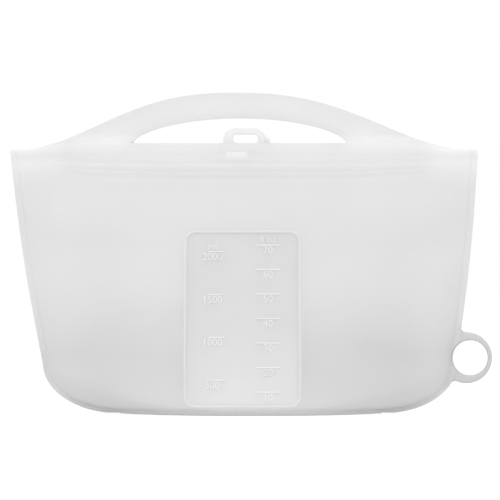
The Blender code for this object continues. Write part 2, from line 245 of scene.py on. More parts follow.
# %% [markdown]
# ## Columns and rows of the skin
# Each half of the bag starts as a flat grid from `bmesh.ops.create_grid`. Every grid column gets a
# place across the bag, closer together at the seams and at the ends of the hand opening, where the
# shape turns quickly. Rows work the same way from foot to lip.

# %% Column and row places
def column_places(columns):
    """Pairs: the share of the width inside the seams, and the share of the seam strip."""
    inside = set()
    for index in range(columns + 1):
        even = mix(-1.0, 1.0, index / columns)
        inside.add(round(0.6 * even + 0.4 * math.sin(even * math.pi / 2), 5))
    for end in (OPENING_X - OPENING_HALF, OPENING_X + OPENING_HALF):
        for step in (0.0, 0.2, 0.7, 1.5, 2.7):
            towards = -1 if end > 0 else 1
            inside.add(round((end + towards * step * MM) / seam_line(LIP_TOP), 5))
    for step in (0.3, 0.6, 0.9, 1.3, 2.0):
        for side in (-1, 1):
            inside.add(round(side * (1.0 - step * MM / seam_line(LIP_TOP)), 5))
    strip = (0.12, 0.4, 0.75, 1.0)
    places = [(-1.0, -share) for share in reversed(strip)]
    places += [(share, 0.0) for share in sorted(inside)]
    return places + [(1.0, share) for share in strip]


def row_heights(count):
    """Heights from under the foot's edge to the lower edge of the lips."""
    low = 0.4 * MM
    return [mix(low, LIP_BOTTOM, (row / count) ** 1.7) for row in range(count + 1)]


def column_x(place, z):
    share, strip = place
    line = seam_line(z)
    return side_middle(z) + share * line + strip * (side_half(z) - line)


COLUMNS = column_places(64)
WALL_ROWS = row_heights(44)
SEAL_ROWS = 24
EDGE_ROWS = 9
LIP_ROWS = SEAL_ROWS + EDGE_ROWS
print(len(COLUMNS), "columns,", len(WALL_ROWS) + LIP_ROWS, "rows")

# %% [markdown]
# ## Press-seal ribs
# Three rounded ribs run along the lips and show where the tongues lock into the grooves inside.
# The seal is boat-shaped: it narrows towards the corners. The ribs are modelled into the skin as
# soft crowns with narrow grooves between them, so they catch real highlights.

# %% Rib profile
RIB_HIGH = 0.3 * MM
RIBS = 3
BEND_FROM = 60 * MM


def rib(share):
    """Height of the ribs at a share of the seal's height; the grooves are narrow."""
    return RIB_HIGH * (abs(math.sin(math.pi * RIBS * share)) ** 0.6 - 1.0)


def lip_face(x, z, share=1.0):
    """Distance of the lip's outer face from the middle plane; the ribs fade out at the corners."""
    return skin_y(x, z) + rib(share) * smoothstep(0.92, 0.55, abs(x) / seam_line(SHOULDER_Z))


def lip_point(place, row, top=lip_top):
    x = column_x(place, SHOULDER_Z)
    share = min(1.0, row / SEAL_ROWS)
    z = mix(seal_low(x), seal_high(x), share)
    if row > SEAL_ROWS:
        z = mix(seal_high(x), top(x), (row - SEAL_ROWS) / EDGE_ROWS)
    x = column_x(place, z)
    return x, lip_face(x, z, share), z


def wall_point(place, height):
    """A point of the wall; the upper rows bend up with the seal's lower edge."""
    bend = smoothstep(BEND_FROM, LIP_BOTTOM, height)
    z = height + (seal_low(column_x(place, height)) - LIP_BOTTOM) * bend
    x = column_x(place, z)
    return x, skin_y(x, z), z


print("rib pitch", round((SEAL_HIGH - SEAL_LOW) / RIBS / MM, 1), "mm")

# %% [markdown]
# ## Mesh helpers
# `thicken` gives an open sheet its wall: the faces are extruded as one region and the new layer
# moves inwards. `finish_mesh` merges doubles and makes an object whose place is in its mesh.
# `darken_rims` stores a share of painted shade that the materials read. On the real bag, light
# that meets more silicone looks darker, and the shader does not work that out from thickness; at
# sideways rims the share paints that darker edge, and in the body it paints shade low on the
# wall and in creases, and darkens the upper corners.

# %% Mesh helpers
SHARP_ANGLE = math.radians(50)
BEVEL_ANGLE = math.radians(58)
RIM_ROUND = 0.7 * MM
MERGE = 0.02 * MM
SLIVER = 0.005 * MM


def finish_mesh(bm, name, material=None):
    bmesh.ops.remove_doubles(bm, verts=bm.verts, dist=MERGE)
    bmesh.ops.dissolve_degenerate(bm, edges=bm.edges, dist=SLIVER)
    bmesh.ops.recalc_face_normals(bm, faces=bm.faces)
    mesh = bpy.data.meshes.new(name)
    bm.to_mesh(mesh)
    bm.free()
    mesh.shade_smooth()
    mesh.set_sharp_from_angle(angle=SHARP_ANGLE)
    if material:
        mesh.materials.append(material)
    piece = bpy.data.objects.new(name, mesh)
    bpy.context.scene.collection.objects.link(piece)
    return piece


def thicken(bm, inward):
    """Extrudes an open sheet into a closed wall; inward(point) gives each new point's move."""
    grown = bmesh.ops.extrude_face_region(bm, geom=bm.faces[:])
    for part in grown["geom"]:
        if isinstance(part, bmesh.types.BMVert):
            part.co += inward(part.co)


def round_rims(piece):
    bevel = piece.modifiers.new("rounded rims", "BEVEL")
    bevel.width = RIM_ROUND
    bevel.segments = 3
    bevel.profile = 0.5
    bevel.limit_method = "ANGLE"
    bevel.angle_limit = BEVEL_ANGLE
    bevel.use_clamp_overlap = True
    bevel.miter_outer = "MITER_ARC"


def apply_modifiers(piece):
    """Replaces a piece's mesh by its evaluated one, so that nothing stays live."""
    bpy.context.view_layer.update()
    graph = bpy.context.evaluated_depsgraph_get()
    mesh = bpy.data.meshes.new_from_object(piece.evaluated_get(graph))
    piece.modifiers.clear()
    piece.data = mesh
    mesh.shade_smooth()
    mesh.set_sharp_from_angle(angle=SHARP_ANGLE)


def darken_rims(piece, rim=None, body=None):
    """Stores a share of painted shade per point: at rims that face sideways, and in the body."""
    thickness_and_shade = piece.data.attributes.new("thickness_and_shade", "FLOAT", "POINT")
    shares = []
    for vertex in piece.data.vertices:
        turned = smoothstep(0.45, 1.0, 1.0 - abs(vertex.normal.y))
        if rim:
            turned *= rim(vertex.co)
        shares.append(min(1.0, turned + (body(vertex.co) if body else 0.0)))
    thickness_and_shade.data.foreach_set("value", shares)


def mesh_from(name, data):
    """The mesh that a curve or a text evaluates to."""
    holder = bpy.data.objects.new(name, data)
    bpy.context.scene.collection.objects.link(holder)
    graph = bpy.context.evaluated_depsgraph_get()
    mesh = bpy.data.meshes.new_from_object(holder.evaluated_get(graph))
    bpy.data.objects.remove(holder)
    return mesh


def cut(piece, cutter, operation="DIFFERENCE"):
    boolean = piece.modifiers.new("cut", "BOOLEAN")
    boolean.operation = operation
    boolean.solver = "EXACT"
    boolean.object = cutter
    apply_modifiers(piece)


# %% [markdown]
# ## Materials
# Platinum silicone is a clear rubber. Moulded against a bead-blasted steel face it turns milky:
# light enters, scatters and leaves softly on the other side. That is a Principled surface with a
# wide, dull highlight mixed with a Translucent one. IOR of silicone is 1.41. The grain is the
# mould's blasting, drawn coarser than the real one so that it shows; on the polished pane it is
# a slow ripple. Tints change with height, to match how bright foot, walls, lips and handle look.
# Low on the wall the darker tint is painted shade, on the pane the tints paint the lit foot and
# shaded back wall seen through it, and on the rear tab a brighter tint is painted light.

# %% Material helpers
def srgb(code):
    """A hex colour such as E8E8E8 as linear RGBA."""
    values = [int(code[place:place + 2], 16) / 255 for place in (0, 2, 4)]
    linear = [v / 12.92 if v <= 0.04045 else ((v + 0.055) / 1.055) ** 2.4 for v in values]
    return (*linear, 1.0)


def add_node(tree, kind, sockets=None, **settings):
    node = tree.nodes.new(kind)
    for name, value in settings.items():
        setattr(node, name, value)
    for name, value in (sockets or {}).items():
        if isinstance(value, bpy.types.NodeSocket):
            tree.links.new(value, node.inputs[name])
        else:
            node.inputs[name].default_value = value
    return node


SILICONE_IOR = 1.41
RAMP_HIGH = 200 * MM
CLOUD_SCALE = 22.0
ROUGH_SPREAD = 0.06
PAINTED_SHADE_GREY = "CCCCCC"


def silicone(name, stops, roughness, through, clear, grain_mm, grain_height):
    """Silicone rubber.

    Stops are (height in mm, tint). through and clear say how it passes light.
    """
    material = bpy.data.materials.new(name)
    material.use_nodes = True
    tree = material.node_tree
    tree.nodes.clear()
    place = add_node(tree, "ShaderNodeTexCoord").outputs["Object"]
    height = add_node(tree, "ShaderNodeSeparateXYZ", {"Vector": place}).outputs["Z"]
    share = add_node(tree, "ShaderNodeMapRange", {"Value": height, "From Max": RAMP_HIGH})
    tint = add_node(tree, "ShaderNodeValToRGB", {"Fac": share.outputs["Result"]})
    ramp = tint.color_ramp
    while len(ramp.elements) < len(stops):
        ramp.elements.new(0.5)
    for element, (level, code) in zip(ramp.elements, stops):
        element.position = level * MM / RAMP_HIGH
        element.color = srgb(code)
    cloud = add_node(
        tree, "ShaderNodeTexNoise", {"Vector": place, "Scale": CLOUD_SCALE, "Detail": 3.0}
    )
    cloudy = add_node(
        tree, "ShaderNodeMix",
        {"Factor": cloud.outputs["Fac"], 6: srgb("FFFFFF"), 7: srgb("FAFAFA")},
        data_type="RGBA",
    )
    mottled = add_node(
        tree, "ShaderNodeMix", {0: 1.0, 6: tint.outputs["Color"], 7: cloudy.outputs[2]},
        data_type="RGBA", blend_type="MULTIPLY",
    )
    # Painted shade: the stored share mixes the colour towards grey at sideways rims and in the
    # shaded parts of the body.
    thickness_and_shade = add_node(tree, "ShaderNodeAttribute", attribute_name="thickness_and_shade")
    deep = add_node(
        tree, "ShaderNodeMix",
        {"Factor": thickness_and_shade.outputs["Fac"], 6: srgb("FFFFFF"), 7: srgb(PAINTED_SHADE_GREY)},
        data_type="RGBA",
    )
    colour = add_node(
        tree, "ShaderNodeMix", {0: 1.0, 6: mottled.outputs[2], 7: deep.outputs[2]},
        data_type="RGBA", blend_type="MULTIPLY",
    ).outputs[2]
    grain = add_node(
        tree, "ShaderNodeTexNoise", {"Vector": place, "Scale": 1.0 / (grain_mm * MM), "Detail": 3.0}
    )
    bump = add_node(
        tree, "ShaderNodeBump",
        {"Height": grain.outputs["Fac"], "Strength": 0.6, "Distance": grain_height * MM},
    )
    rough = add_node(
        tree, "ShaderNodeMapRange",
        {"Value": grain.outputs["Fac"],
         "To Min": roughness - ROUGH_SPREAD, "To Max": roughness + ROUGH_SPREAD},
    )
    surface = add_node(
        tree, "ShaderNodeBsdfPrincipled",
        {"Base Color": colour, "Roughness": rough.outputs["Result"], "IOR": SILICONE_IOR,
         "Normal": bump.outputs["Normal"]},
    )
    glow = add_node(
        tree, "ShaderNodeBsdfTranslucent", {"Color": colour, "Normal": bump.outputs["Normal"]}
    )
    milky = add_node(
        tree, "ShaderNodeMixShader", {0: through, 1: surface.outputs[0], 2: glow.outputs[0]}
    )
    bare = add_node(tree, "ShaderNodeBsdfTransparent", {"Color": srgb("FFFFFF")})
    result = add_node(
        tree, "ShaderNodeMixShader", {0: clear, 1: milky.outputs[0], 2: bare.outputs[0]}
    )
    add_node(tree, "ShaderNodeOutputMaterial", {"Surface": result.outputs[0]})
    return material


# Darkest near 37 mm and lighter upwards: painted shade low on the wall. Brighter across the lips,
# and darker on the handle.
WALL_TINTS = [
    (4, "F1F1F1"), (22, "EDEDED"), (37, "EBEBEB"), (52, "EDEDED"), (67, "EEEEEE"), (82, "EFEFEF"),
    (119, "EFEFEF"), (141, "F1F1F1"), (149, "F4F4F4"), (156, "FAFAFA"), (160, "F7F7F7"),
    (164, "FBFBFB"), (168, "F9F9F9"), (174, "E9E9E9"),
]
frosted = silicone("bead_blasted_silicone", WALL_TINTS, 0.48, 0.42, 0.05, 1.1, 0.05)
LOOP_TINTS = [(4, "D8D8D8"), (60, "DCDCDC"), (150, "EFEFEF"), (180, "EFEFEF")]
thick_frosted = silicone("thick_silicone", LOOP_TINTS, 0.45, 0.36, 0.0, 1.1, 0.05)
# Brighter low down and darker higher up: painted light of the lit foot and painted shade of the
# back wall, seen through the clear pane.
PANE_TINTS = [(4, "F7F7F7"), (12, "F2F2F2"), (25, "EFEFEF"), (55, "EAEAEA"), (110, "EBEBEB")]
polished = silicone("polished_silicone", PANE_TINTS, 0.18, 0.40, 0.12, 6.0, 0.02)
# Above 163 mm the tint brightens: painted light on the rear tab, against the front tab's shadow.
MARK_AND_LIT_TAB_TINTS = [(4, "F4F4F4"), (163, "F4F4F4"), (169, "FCFCFC")]
raised_white = silicone("moulded_scale_silicone", MARK_AND_LIT_TAB_TINTS, 0.42, 0.30, 0.0, 1.1, 0.02)
BEAD_TINTS = [(4, "EAEAEA"), (14, "E7E7E7"), (30, "E6E6E6"), (60, "E7E7E7"), (108, "E9E9E9")]
bead_white = silicone("moulded_bead_silicone", BEAD_TINTS, 0.42, 0.30, 0.0, 1.1, 0.02)
finishes = (frosted, thick_frosted, polished, raised_white, bead_white)
print("materials:", [finish.name for finish in finishes])

# %% [markdown]
# ## Front half
# Wall and lip are one moulding. The grid becomes the outer face, `thicken` makes it 2 mm thick and
# a bevel rounds its rims. The window is then cut with a rounded prism.

# %% Front skin
def front_point(column, row):
    place = COLUMNS[column]
    if row < len(WALL_ROWS):
        x, y, z = wall_point(place, WALL_ROWS[row])
    else:
        x, y, z = lip_point(place, row - len(WALL_ROWS) + 1)
    return x, -y, z


def grid_sheet(columns, rows, point):
    bm = bmesh.new()
    bmesh.ops.create_grid(bm, x_segments=columns, y_segments=rows, size=1.0)
    bm.verts.index_update()
    for vertex in bm.verts:
        column = round((vertex.co.x + 1.0) / 2.0 * columns)
        row = round((vertex.co.y + 1.0) / 2.0 * rows)
        vertex.co = point(column, row)
    return bm


HALF_SLIT = 0.05 * MM
SHUT_FROM, SHUT_TO = 164.5 * MM, 166.5 * MM
SEAM_MARGIN = 0.1 * MM


def wall_move(point):
    """From the outer to the inner face; lip edges and seams reach to the middle plane."""
    side = -1.0 if point.y < 0 else 1.0
    out = skin_normal(point.x, point.z)
    inner = Vector((-out.x, -out.y * side, -out.z)) * WALL
    shut = Vector((0.0, -side * (abs(point.y) - HALF_SLIT), 0.0))
    joined = abs(point.x - side_middle(point.z)) > seam_line(point.z) - SEAM_MARGIN
    return inner.lerp(shut, 1.0 if joined else smoothstep(SHUT_FROM, SHUT_TO, point.z))


# Spots of painted shade in the lower corners' creases, and darker spots at the upper corners.
# Each spot: its X and Z, how wide and how high it is, and how much it darkens.
DARKER_SPOTS = [
    (-104 * MM, 35 * MM, 13 * MM, 13 * MM, 0.04),
    (78 * MM, 44 * MM, 12 * MM, 5 * MM, 0.04),
    (99 * MM, 36 * MM, 14 * MM, 7 * MM, 0.04),
    (-124 * MM, 146 * MM, 22 * MM, 24 * MM, 0.09),
    (124 * MM, 146 * MM, 22 * MM, 24 * MM, 0.06),
    (-138 * MM, 162 * MM, 17 * MM, 5.5 * MM, 0.10),
    (138 * MM, 162 * MM, 17 * MM, 5.5 * MM, 0.10),
    (-124 * MM, 163 * MM, 28 * MM, 9 * MM, 0.10),
    (124 * MM, 163 * MM, 28 * MM, 9 * MM, 0.07),
]


def painted_body_shade(point):
    """Painted shade on the body; the wall's 2 mm mesh is not thicker there.

    It is greatest low down and in the middle, where the lower wall lies in shade. Seams, creases
    and upper corners add to it.
    """
    out = abs(point.x - side_middle(point.z))
    share = mix(0.12, 0.04, smoothstep(45 * MM, 85 * MM, point.z))
    share *= smoothstep(120 * MM, 88 * MM, out)
    if out > seam_line(point.z):
        share += 0.15 * smoothstep(50 * MM, 20 * MM, point.z)
    for x, z, wide, high, deep in DARKER_SPOTS:
        share += deep * math.exp(-((point.x - x) / wide) ** 2 - ((point.z - z) / high) ** 2)
    return share


FOOT_RIM_TOP = 25 * MM
LIP_RIM_LOW = 160 * MM


def rim_share(point):
    """The painted rim shade on the foot's edge is darkest in the middle and fades towards its
    corners.
    """
    if point.z > FOOT_RIM_TOP:
        return 1.0
    return mix(0.9, 0.12, smoothstep(20 * MM, 80 * MM, abs(point.x)))


def front_rim_share(point):
    """As above, and no rim where the lip's top edge lies against the handle."""
    beside = abs(point.x - OPENING_X) > OPENING_HALF and point.z > LIP_RIM_LOW
    return 0.0 if beside else rim_share(point)


sheet = grid_sheet(len(COLUMNS) - 1, len(WALL_ROWS) + LIP_ROWS - 1, front_point)
thicken(sheet, wall_move)
front_skin = finish_mesh(sheet, "front_skin", frosted)
round_rims(front_skin)
apply_modifiers(front_skin)
darken_rims(front_skin, front_rim_share, painted_body_shade)
print("front skin:", len(front_skin.data.polygons), "faces")

# %% [markdown]
# ## Back half with the handle
# The back wall, its lip and the handle are one piece. Above the lip the grid goes on over the
# arch; the faces in front of the hand opening are left out. The handle is twice as thick as the
# wall, with a soft bead along both edges.

# %% Back skin and handle
ARCH_ROWS = 12
BEAD = 0.5 * MM
BEAD_IN = 1.6 * MM
BEAD_WIDE = 1.3 * MM
THICKEN_OVER = 12 * MM
PART_OVER = 14 * MM
LIP_END_ROW = len(WALL_ROWS) + LIP_ROWS - 1


def arch_point(place, share):
    x = column_x(place, SHOULDER_Z)
    low = opening_z(x)
    high = arch_z(x)
    z = mix(low, high, share)
    x = column_x(place, z)
    tall = high - low
    edge = min(share, 1.0 - share) * tall
    bead = BEAD * math.exp(-((edge - BEAD_IN) / BEAD_WIDE) ** 2)
    grow = smoothstep(LIP_TOP, LIP_TOP + THICKEN_OVER, z)
    y = mix(lip_face(x, z), LIP_MIDDLE + ARCH_THICK / 2 - BEAD + bead, grow)
    return x, y, z


def back_point(column, row):
    place = COLUMNS[column]
    if row < len(WALL_ROWS):
        return wall_point(place, WALL_ROWS[row])
    if row <= LIP_END_ROW:
        return lip_point(place, row - len(WALL_ROWS) + 1, handle_root)
    return arch_point(place, (row - LIP_END_ROW - 1) / ARCH_ROWS)


def back_move(point):
    """As wall_move, and above the lips the inner face leaves the middle plane."""
    if point.z <= LIP_TOP:
        return wall_move(point)
    free = smoothstep(LIP_TOP, LIP_TOP + PART_OVER, point.z)
    inner = mix(HALF_SLIT, LIP_MIDDLE - ARCH_THICK / 2, free)
    return Vector((0.0, inner - point.y, 0.0))


sheet = grid_sheet(len(COLUMNS) - 1, LIP_END_ROW + 1 + ARCH_ROWS, back_point)
opening_faces = [
    face for face in sheet.faces
    if {vertex.index // len(COLUMNS) for vertex in face.verts} == {LIP_END_ROW, LIP_END_ROW + 1}
    and abs(face.calc_center_median().x - OPENING_X) < OPENING_HALF
]
bmesh.ops.delete(sheet, geom=opening_faces, context="FACES")
bmesh.ops.remove_doubles(sheet, verts=sheet.verts, dist=MERGE)
bmesh.ops.reverse_faces(sheet, faces=sheet.faces)
thicken(sheet, back_move)
back_skin = finish_mesh(sheet, "back_skin_with_handle", frosted)
round_rims(back_skin)
apply_modifiers(back_skin)
darken_rims(back_skin, rim_share, painted_body_shade)
print("back skin:", len(back_skin.data.polygons), "faces, top at",
      round(max(v.co.z for v in back_skin.data.vertices) / MM, 1), "mm")

# %% [markdown]
# ## Flat outlines
# Window, tabs and ring have flat outlines with round corners. A closed 2D curve with an extrusion
# and a small bevel makes such a plate with soft edges in one go, and then becomes a mesh.

# %% Plate helper
def arc(centre, radius, start, end, steps=8):
    points = []
    for step in range(steps + 1):
        angle = math.radians(mix(start, end, step / steps))
        points.append((centre[0] + radius * math.cos(angle), centre[1] + radius * math.sin(angle)))
    return points


def rounded_rectangle(middle, half, low, high, radius):
    left, right = middle - half + radius, middle + half - radius
    bottom, top = low + radius, high - radius
    return (
        arc((right, bottom), radius, -90, 0)
        + arc((right, top), radius, 0, 90)
        + arc((left, top), radius, 90, 180)
        + arc((left, bottom), radius, 180, 270)
    )


def trace(curve, points):
    """Adds a closed outline of (x, y, z) points to a curve."""
    spline = curve.splines.new("POLY")
    spline.points.add(len(points) - 1)
    spline.use_cyclic_u = True
    for point, place in zip(spline.points, points):
        point.co = (*place, 1.0)


def plate(name, outlines, y, thickness, edge):
    """An upright plate with X-Z outlines, holes included, centred on y."""
    curve = bpy.data.curves.new(name, "CURVE")
    curve.dimensions = "2D"
    curve.fill_mode = "BOTH"
    curve.extrude = thickness / 2 - edge
    curve.bevel_depth = edge
    curve.bevel_resolution = 3
    curve.offset = -edge
    for outline in outlines:
        trace(curve, [(x, z, 0.0) for x, z in outline])
    bm = bmesh.new()
    bm.from_mesh(mesh_from(name + "_curve", curve))
    turn = Matrix.Translation((0.0, y, 0.0)) @ Matrix.Rotation(math.pi / 2, 4, "X")
    bmesh.ops.transform(bm, matrix=turn, verts=bm.verts)
    return bm


# %% [markdown]
# ## Window opening, pane and bead
# The pane is a patch of the same skin, polished in the mould. It is cut from a sheet with the same
# formula as the wall, and a round bead hides the line where frosted and clear silicone meet.

# %% Window
FRAME_LOW, FRAME_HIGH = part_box("window_frame")
WINDOW_X = (FRAME_LOW.x + FRAME_HIGH.x) / 2
WINDOW_HALF = (FRAME_HIGH.x - FRAME_LOW.x) / 2
WINDOW_RADIUS = 7.2 * MM
BEAD_INSET = 0.95 * MM
BEAD_RADIUS = 1.3 * MM
BEAD_LOW = 0.85 * MM
BEAD_SPACING = 3 * MM
PANE_SUNK = 0.25 * MM
PANE_INSET = 0.1 * MM
PANE_SPARE = 1 * MM
PANE_COLUMNS, PANE_ROWS = 24, 40


def window_outline(inset):
    low, high = FRAME_LOW.z + inset, FRAME_HIGH.z - inset
    return rounded_rectangle(WINDOW_X, WINDOW_HALF - inset, low, high, WINDOW_RADIUS - inset)


def window_cutter(name, inset):
    bm = plate(name, [window_outline(inset)], -FOOT_DEPTH_HALF, 1.9 * FOOT_DEPTH_HALF, 0.0)
    return finish_mesh(bm, name)


opening_cutter = window_cutter("opening_cutter", BEAD_INSET)
cut(front_skin, opening_cutter)
bpy.data.objects.remove(opening_cutter)


def pane_point(column, row):
    z = mix(FRAME_LOW.z - PANE_SPARE, FRAME_HIGH.z + PANE_SPARE, row / PANE_ROWS)
    x = WINDOW_X + mix(-1, 1, column / PANE_COLUMNS) * (WINDOW_HALF + PANE_SPARE)
    return x, -skin_y(x, z) + PANE_SUNK, z


sheet = grid_sheet(PANE_COLUMNS, PANE_ROWS, pane_point)
thicken(sheet, wall_move)
window_pane = finish_mesh(sheet, "window_pane", polished)
pane_cutter = window_cutter("pane_cutter", PANE_INSET)
cut(window_pane, pane_cutter, "INTERSECT")
bpy.data.objects.remove(pane_cutter)
print("pane:", len(window_pane.data.polygons), "faces")


def bead_along(name, outline, radius, material):
    """A round bead laid on the front skin along an X-Z outline."""
    curve = bpy.data.curves.new(name, "CURVE")
    curve.dimensions = "3D"
    curve.bevel_depth = radius
    curve.bevel_resolution = 3
    trace(curve, [(x, -skin_y(x, z) + BEAD_LOW, z) for x, z in outline])
    bm = bmesh.new()
    bm.from_mesh(mesh_from(name + "_curve", curve))
    return finish_mesh(bm, name, material)


def spread(outline, spacing):
    """Adds points to an outline so that it can follow a curved face."""
    result = []
    for (x0, z0), (x1, z1) in zip(outline, outline[1:] + outline[:1]):
        pieces = max(1, round(math.hypot(x1 - x0, z1 - z0) / spacing))
        for step in range(pieces):
            result.append((mix(x0, x1, step / pieces), mix(z0, z1, step / pieces)))
    return result


window_bead = bead_along(
    "window_bead", spread(window_outline(BEAD_INSET), BEAD_SPACING), BEAD_RADIUS, bead_white
)
print("bead:", len(window_bead.data.polygons), "faces")

# %% [markdown]
# ## Measuring marks
# Lines and numerals are raised 0.4 mm from the pane, as a mould engraving leaves them. Text
# becomes a mesh first, and each point is then laid on the pane by the skin's own formula.

# %% Marks
MARK_PROUD = 0.4 * MM
LINE_THICK = 0.75 * MM
LINE_BEVEL = 0.15 * MM
NUMERAL = 4.5 * MM
HEADING = 4.2 * MM
CAPITAL_SHARE = 0.72          # of the font's size
UNDER_LINE = 0.9 * MM
OVER_LINE = 1.4 * MM
OUNCE_LEFT, OUNCE_RIGHT, OUNCE_X = 7.4 * MM, 22.2 * MM, 14.8 * MM
MILLI_LEFT, MILLI_RIGHT, MILLI_X = -22.5 * MM, -12.5 * MM, -19.6 * MM
OUNCE_FIRST, OUNCE_STEP = 14.3 * MM, 15.05 * MM
MILLI_FIRST, MILLI_STEP = 21.6 * MM, 26.3 * MM


def lay_on_pane(bm):
    """Moves a flat relief from y = 0 onto the pane."""
    for vertex in bm.verts:
        vertex.co.y -= skin_y(vertex.co.x, vertex.co.z) - PANE_SUNK


def add_line(bm, left, right, z):
    size = Matrix.Diagonal((right - left, 2 * MARK_PROUD, LINE_THICK, 1.0))
    place = Matrix.Translation(((left + right) / 2, 0.0, z)) @ size
    made = bmesh.ops.create_cube(bm, size=1.0, matrix=place)
    edges = list(dict.fromkeys(edge for vertex in made["verts"] for edge in vertex.link_edges))
    bmesh.ops.bevel(
        bm, geom=edges, offset=LINE_BEVEL, segments=2, profile=0.5, affect="EDGES", material=-1
    )


def add_text(bm, words, x, z, height):
    text = bpy.data.curves.new("numeral", "FONT")
    text.body = words
    text.size = height / CAPITAL_SHARE
    text.align_x = "CENTER"
    text.align_y = "CENTER"
    text.extrude = MARK_PROUD
    text.resolution_u = 3
    mesh = mesh_from("numeral", text)
    mesh.transform(Matrix.Translation((x, 0.0, z)) @ Matrix.Rotation(math.pi / 2, 4, "X"))
    bm.from_mesh(mesh)


def scale(name, count, worth, first, step, left, right, x, heading):
    """Lines one step apart with a numeral under each, and a heading over the top one."""
    bm = bmesh.new()
    for index in range(count):
        z = first + index * step
        add_line(bm, left, right, z)
        add_text(bm, str(worth * (index + 1)), x, z - UNDER_LINE - NUMERAL / 2, NUMERAL)
    top = first + (count - 1) * step
    add_text(bm, heading, x, top + OVER_LINE + HEADING / 2, HEADING)
    lay_on_pane(bm)
    return finish_mesh(bm, name, raised_white)


ounce_marks = scale(
    "ounce_marks", 7, 10, OUNCE_FIRST, OUNCE_STEP, OUNCE_LEFT, OUNCE_RIGHT, OUNCE_X, "fl oz"
)
millilitre_marks = scale(
    "millilitre_marks", 4, 500, MILLI_FIRST, MILLI_STEP, MILLI_LEFT, MILLI_RIGHT, MILLI_X, "ml"
)
print("marks:", len(ounce_marks.data.polygons), "and", len(millilitre_marks.data.polygons), "faces")

# %% [markdown]
# ## Pull tabs
# Each tab is a flat loop that grows out of a pad on its lip. The rear one has slid a little to the
# side, as soft lips do. Level cuts through the loop's foot give it rings of points.

# %% Tabs
TAB_CORNER = 7.5 * MM
TAB_THICK = 1.9 * MM
TAB_Y = 3.1 * MM
PAD_LOW = 163.0 * MM
PAD_CORNER = 2.0 * MM
SLOT_LOW = 168.0 * MM
SLOT_HIGH = 173.4 * MM
SLOT_CORNER = 2.2 * MM
TAB_EDGE = 0.7 * MM
FRONT_SLOT = (-6.9 * MM, 8.7 * MM)
REAR_SLOT = (-7.0 * MM, 11.0 * MM)
BEND_ROWS = (165 * MM, 176 * MM)


CUT_SPACING = 1.0 * MM


def level_cuts(bm, low, high, spacing, axis):
    """Cuts a mesh into slices across one axis, so that it has rows of points."""
    normal = Vector([1.0 if index == axis else 0.0 for index in range(3)])
    count = round((high - low) / spacing)
    for step in range(count + 1):
        spot = normal * mix(low, high, step / count)
        parts = bm.verts[:] + bm.edges[:] + bm.faces[:]
        bmesh.ops.bisect_plane(bm, geom=parts, plane_co=spot, plane_no=normal, dist=SLIVER)


def make_tab(name, node, slot_ends, side):
    low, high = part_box(node)
    outer = (
        arc((high.x - PAD_CORNER, PAD_LOW + PAD_CORNER), PAD_CORNER, -90, 0)
        + arc((high.x - TAB_CORNER, high.z - TAB_CORNER), TAB_CORNER, 0, 90)
        + arc((low.x + TAB_CORNER, high.z - TAB_CORNER), TAB_CORNER, 90, 180)
        + arc((low.x + PAD_CORNER, PAD_LOW + PAD_CORNER), PAD_CORNER, 180, 270)
    )
    middle, half = sum(slot_ends) / 2, (slot_ends[1] - slot_ends[0]) / 2
    slot = rounded_rectangle(middle, half, SLOT_LOW, SLOT_HIGH, SLOT_CORNER)
    bm = plate(name, [outer, slot], side * TAB_Y, TAB_THICK, TAB_EDGE)
    bmesh.ops.triangulate(bm, faces=[face for face in bm.faces if len(face.verts) > 4])
    level_cuts(bm, *BEND_ROWS, CUT_SPACING, 2)
    # The rear tab takes the brighter tint and no rim shade: painted light that lifts the shadow the
    # front tab casts on it.
    tab = finish_mesh(bm, name, thick_frosted if side < 0 else raised_white)
    darken_rims(tab, lambda point: 0.5 if side < 0 else 0.0)
    return tab


front_tab = make_tab("front_tab_loop", "front_pull_tab", FRONT_SLOT, -1)
rear_tab = make_tab("rear_tab_loop", "rear_pull_tab", REAR_SLOT, 1)
print("tab:", len(front_tab.data.polygons), "faces")

# %% [markdown]
# ## Grip pad
# Under the tab a small raised pad gives the thumb something to push against. It is a plain oval
# plate, sunk into the lip until only its rounded face shows.

# %% Grip pad
GRIP_X, GRIP_HALF = -4.8 * MM, 7.3 * MM
GRIP_LOW, GRIP_HIGH = 157.6 * MM, 162.6 * MM
GRIP_CORNER = 2.4 * MM
GRIP_EDGE = 0.5 * MM
GRIP_SUNK = 0.1 * MM
GRIP_THICK = 1.6 * MM
grip_outline = rounded_rectangle(GRIP_X, GRIP_HALF, GRIP_LOW, GRIP_HIGH, GRIP_CORNER)
grip_y = -(skin_y(0.0, LIP_TOP) - GRIP_SUNK - GRIP_THICK / 2)
grip_pad = finish_mesh(
    plate("grip_pad", [grip_outline], grip_y, GRIP_THICK, GRIP_EDGE), "grip_pad", raised_white
)
print("grip pad:", len(grip_pad.data.polygons), "faces")

# %% [markdown]
# ## Hanging ring
# The ring is moulded onto the side seam. Its hole sits a little further out than its rim, so the
# rim is thickest near the bag, and two fillets lead it into the seam.

# %% Ring
RING_RADIUS = (RING_HIGH.z - RING_LOW.z) / 2
RING_Z = (RING_HIGH.z + RING_LOW.z) / 2
RING_X = RING_HIGH.x - RING_RADIUS
HOLE_X = RING_X + 2.4 * MM
HOLE_RADIUS = 10.9 * MM
HOLE_ARC = (0, 352.5, 47)      # degrees, degrees, steps
FILLET = 3.5 * MM
RING_EDGE = 1.3 * MM
RING_CUTS = (126 * MM, 140 * MM)
NOTCH_ROOM = 1.4 * MM
NOTCH_THICK = 12 * MM


def edge_x(z):
    return side_middle(z) + side_half(z)


def fillet_centre(x):
    """Height above the ring's middle of a fillet at X = x that touches the ring from outside."""
    return math.sqrt((RING_RADIUS + FILLET) ** 2 - (x - RING_X) ** 2)


